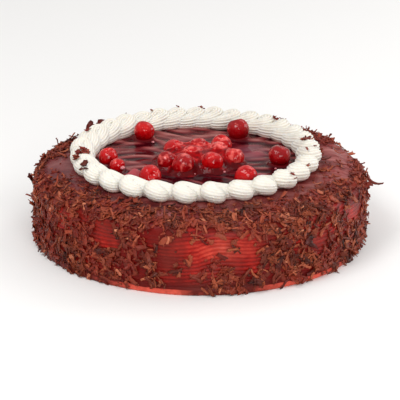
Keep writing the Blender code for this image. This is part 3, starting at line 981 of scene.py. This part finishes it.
def stand_on_skin(rng, shapes, turn, run, layers):
    """Turn each shaving in its plane, tilt it both ways, and set it on the skin.

    layers is the least and greatest height over the skin. One shaving in twelve leans further.
    """
    count = len(turn)
    points, outward = skin(turn, run)
    side_on = xyz(np.cos(turn), np.sin(turn), np.zeros(count))
    downhill = np.cross(side_on, outward)
    spin = rng.uniform(0, math.tau, count)[:, None]
    tilt = (rng.normal(0, TILT_SPREAD, count) + 0.5 * (rng.uniform(0, 1, count) > 0.92))[:, None]
    roll = rng.normal(0, TILT_SPREAD * 0.8, count)[:, None]
    long_way = np.cos(spin) * side_on + np.sin(spin) * downhill
    wide_way = np.cross(outward, long_way)
    long_now = np.cos(tilt) * long_way + np.sin(tilt) * outward
    up_now = np.cos(tilt) * outward - np.sin(tilt) * long_way
    wide_now = np.cos(roll) * wide_way + np.sin(roll) * up_now
    up_now = np.cross(long_now, wide_now)
    reach = np.abs(shapes[..., 0]).max(axis=1, keepdims=True) * np.abs(np.sin(tilt))
    base = points + outward * (rng.uniform(*layers, (count, 1)) + 0.75 * reach)
    placed = (base[:, None] + shapes[..., :1] * long_now[:, None]
              + shapes[..., 1:2] * wide_now[:, None] + shapes[..., 2:3] * up_now[:, None])
    placed[..., 2] = np.maximum(placed[..., 2], 0.0002)
    return placed


def make_shavings(name, seed, count, low_run, high_run, length, width, thick, bend, cells,
                  ragged, layers):
    """A piece of many shavings of one kind, with a tint for each."""
    rng, turn, run = scatter(seed, count, low_run, high_run)
    shapes, faces = shavings(rng, len(turn), length, width, thick, bend, cells, ragged)
    placed = stand_on_skin(rng, shapes, turn, run, layers)
    points_each = placed.shape[1]
    darker = 0.16 * ripples(71, 16, (0.09, 0.011), turn, run)
    tint = np.repeat(np.clip(rng.normal(0.42, 0.20, len(turn)) - darker, 0, 1), points_each)
    piece = make_piece(name, placed, [copies(faces, points_each, len(turn))], {"tint": tint},
                       smooth=False)
    return piece


SIDE_FROM = RIM_RUN + 0.004
BORDER_FROM = 0.088
BORDER_TO = RIM_RUN + 0.009
# Name, seed, number, first and last run, length, width, thickness, bend, cells along and across,
# raggedness, and height over the skin
KINDS = [
    ("side_plates", 51, 1350, SIDE_FROM, FOOT_RUN, (0.0045, 0.0110), (0.0022, 0.0048), 0.0005,
     (0.2, 1.1), (5, 3), 0.9, (0.0, 0.0007)),
    ("side_slivers", 52, 1450, SIDE_FROM, FOOT_RUN, (0.0045, 0.0115), (0.0011, 0.0022), 0.0006,
     (0.2, 1.3), (5, 1), 0.8, (0.0, 0.0009)),
    ("side_crumbs", 53, 1200, RIM_RUN, FOOT_RUN, (0.0014, 0.0032), (0.0010, 0.0022), 0.0007,
     (0.2, 0.6), (2, 1), 0.5, (0.0001, 0.0008)),
    ("border_plates", 54, 600, BORDER_FROM, BORDER_TO, (0.0045, 0.0110), (0.0020, 0.0038), 0.0005,
     (0.2, 1.4), (4, 2), 0.5, (0.0001, 0.0011)),
    ("border_slivers", 55, 760, BORDER_FROM, BORDER_TO, (0.0045, 0.0115), (0.0009, 0.0016), 0.0006,
     (0.3, 2.0), (5, 1), 0.5, (0.0001, 0.0014)),
    ("border_crumbs", 56, 700, BORDER_FROM, BORDER_TO, (0.0012, 0.0028), (0.0009, 0.0018), 0.0006,
     (0.2, 0.6), (2, 1), 0.5, (0.0001, 0.0007)),
]
flakes = [make_shavings(*kind) for kind in KINDS]

# %% [markdown]
# Some shavings fell on the cream: two drifts, on the left and on the right, a few large chips, and
# single ones elsewhere. Each row of the table is one spot. A shaving lies as high as the strand is
# under it, which is the highest point of the strand within a millimetre or so.

# %% Shavings on the cream
# Angle round the ring from the front, distance from its centre, number, spread in mm, size, lean
CREAM_SPOTS = [
    (-80, 84, 34, 4.2, 1.15, 0.3), (-67, 88, 1, 0.0, 2.2, 0.6), (-50, 95, 3, 1.5, 0.8, 0.3),
    (102, 84, 16, 5.0, 1.0, 0.3), (83, 83, 1, 1.0, 0.8, 0.3), (66, 90, 2, 1.0, 0.8, 0.3),
    (87, 89, 2, 1.5, 0.7, 0.3), (49, 94, 3, 2.0, 0.8, 0.3), (-144, 90, 1, 1.0, 0.7, 0.2),
    (-157, 88, 1, 1.0, 0.7, 0.2), (-171, 88, 1, 1.0, 0.7, 0.2), (177, 89, 3, 4.5, 0.9, 0.5),
    (135, 90, 5, 4.0, 1.0, 0.3), (-110, 86, 3, 3.0, 0.8, 0.3), (-127, 98, 3, 3.0, 2.3, 1.1),
    (-131, 97, 2, 2.0, 2.8, 1.2), (-0.5, 96, 2, 1.2, 1.3, 0.3), (7, 96, 3, 2.0, 1.2, 0.3),
    (-62, 92, 5, 3.0, 1.0, 0.3), (-74, 91.5, 7, 3.5, 1.2, 0.3), (-81, 88.5, 4, 2.0, 1.0, 0.3)]
NEAR = 0.0012
STANDING_TURN = 1.35
spot_rng = np.random.default_rng(61)
spot_list = []
for angle, out, many, spread, size, leaning in CREAM_SPOTS:
    angle = math.radians(angle)
    middle = RING_CENTRE + out / 1000 * np.array([math.sin(angle), -math.cos(angle)])
    places = middle + spot_rng.normal(0, spread / 2000, (many, 2))
    spot_list.append(np.column_stack([places, np.full((many, 2), (size, leaning))]))
spots = np.concatenate(spot_list)
flat_strand = strand_points.reshape(-1, 3)
spot_away = distances(spots[:, 0], spots[:, 1], flat_strand)
spot_height = np.where(spot_away < NEAR, flat_strand[:, 2], 0).max(axis=1)
spot_height = np.where(spot_height > CAKE_TOP, spot_height, CAKE_TOP + 0.001)
spot_shapes, spot_faces = shavings(spot_rng, len(spots), (0.0026, 0.0056), (0.0014, 0.0034), 0.0005,
                                   (0.2, 1.5), (3, 2), 0.5)
spot_shapes = spot_shapes * spots[:, 2, None, None]
spin = spot_rng.uniform(0, math.tau, (len(spots), 1))
tip = spot_rng.normal(0, 1.0, (len(spots), 1)) * spots[:, 3:]
# A flake with a lean over 0.5 stands at that angle, its broad side to the front
standing = spots[:, 3:] > 0.5
spin, tip = np.where(standing, STANDING_TURN, spin), np.where(standing, spots[:, 3:], tip)
sx, sz = turned(spot_shapes[..., 0], spot_shapes[..., 2], tip)
sx, sy = turned(sx, spot_shapes[..., 1], spin)
lift = 0.0004 + 0.6 * np.maximum(-sz.min(axis=1), 0)
spot_points = xyz(spots[:, :1] + sx, spots[:, 1:2] + sy, (spot_height + lift)[:, None] + sz)
spot_each = spot_points.shape[1]
spot_tint = np.clip(spot_rng.normal(0.35, 0.2, len(spots)) - 0.3 * standing[:, 0], 0, 1)
flakes.append(make_piece("cream_shavings", spot_points,
                         [copies(spot_faces, spot_each, len(spots))],
                         {"tint": np.repeat(spot_tint, spot_each)}, smooth=False))

# %% [markdown]
# One long curl stands out from the rim on the right.

# %% The curl at the rim
curl, curl_faces = shavings(np.random.default_rng(62), 1, (0.018, 0.019), (0.0034, 0.0036), 0.0012,
                            (1.9, 2.0), (12, 1), 0.15)
CURL_PLACE = (0.1270, -0.014, 0.0455)
CURL_TIP = -0.62
curl_x, curl_z = turned(curl[0, :, 0], curl[0, :, 2], CURL_TIP)
curl = xyz(curl_x, curl[0, :, 1], curl_z)
flakes.append(make_piece("rim_curl", curl + CURL_PLACE, [curl_faces],
                         {"tint": np.full(len(curl), 0.25)}, smooth=False))

# %% [markdown]
# Shaved chocolate is dull where the knife tore it and waxy on its flat sides. The tint stored for
# each shaving leads its colour from bitter brown to milk brown, and fine noise adds the grain.

# %% Chocolate
chocolate = Finish("shaved chocolate")
grain = chocolate.noise(900, 3.0, (1, 1, 2.2))
tone = chocolate.stored("tint") + (grain - 0.5) * 0.5
bitter = chocolate.ramp(tone, (0.0, srgb(44, 11, 6)), (0.4, srgb(110, 43, 25)),
                        (0.78, srgb(162, 80, 50)), (1.0, srgb(208, 130, 96)))
stained = chocolate.ramp(chocolate.noise(38, 2.0), (0.42, grey(0.0)), (0.62, grey(0.45)))
chocolate.set(Base_Color=chocolate.mix(stained, bitter, srgb(140, 36, 28)),
              Roughness=0.40, IOR=1.3)
chocolate.bump(grain, 0.0003, 0.5)
chocolate.put_on(*flakes)
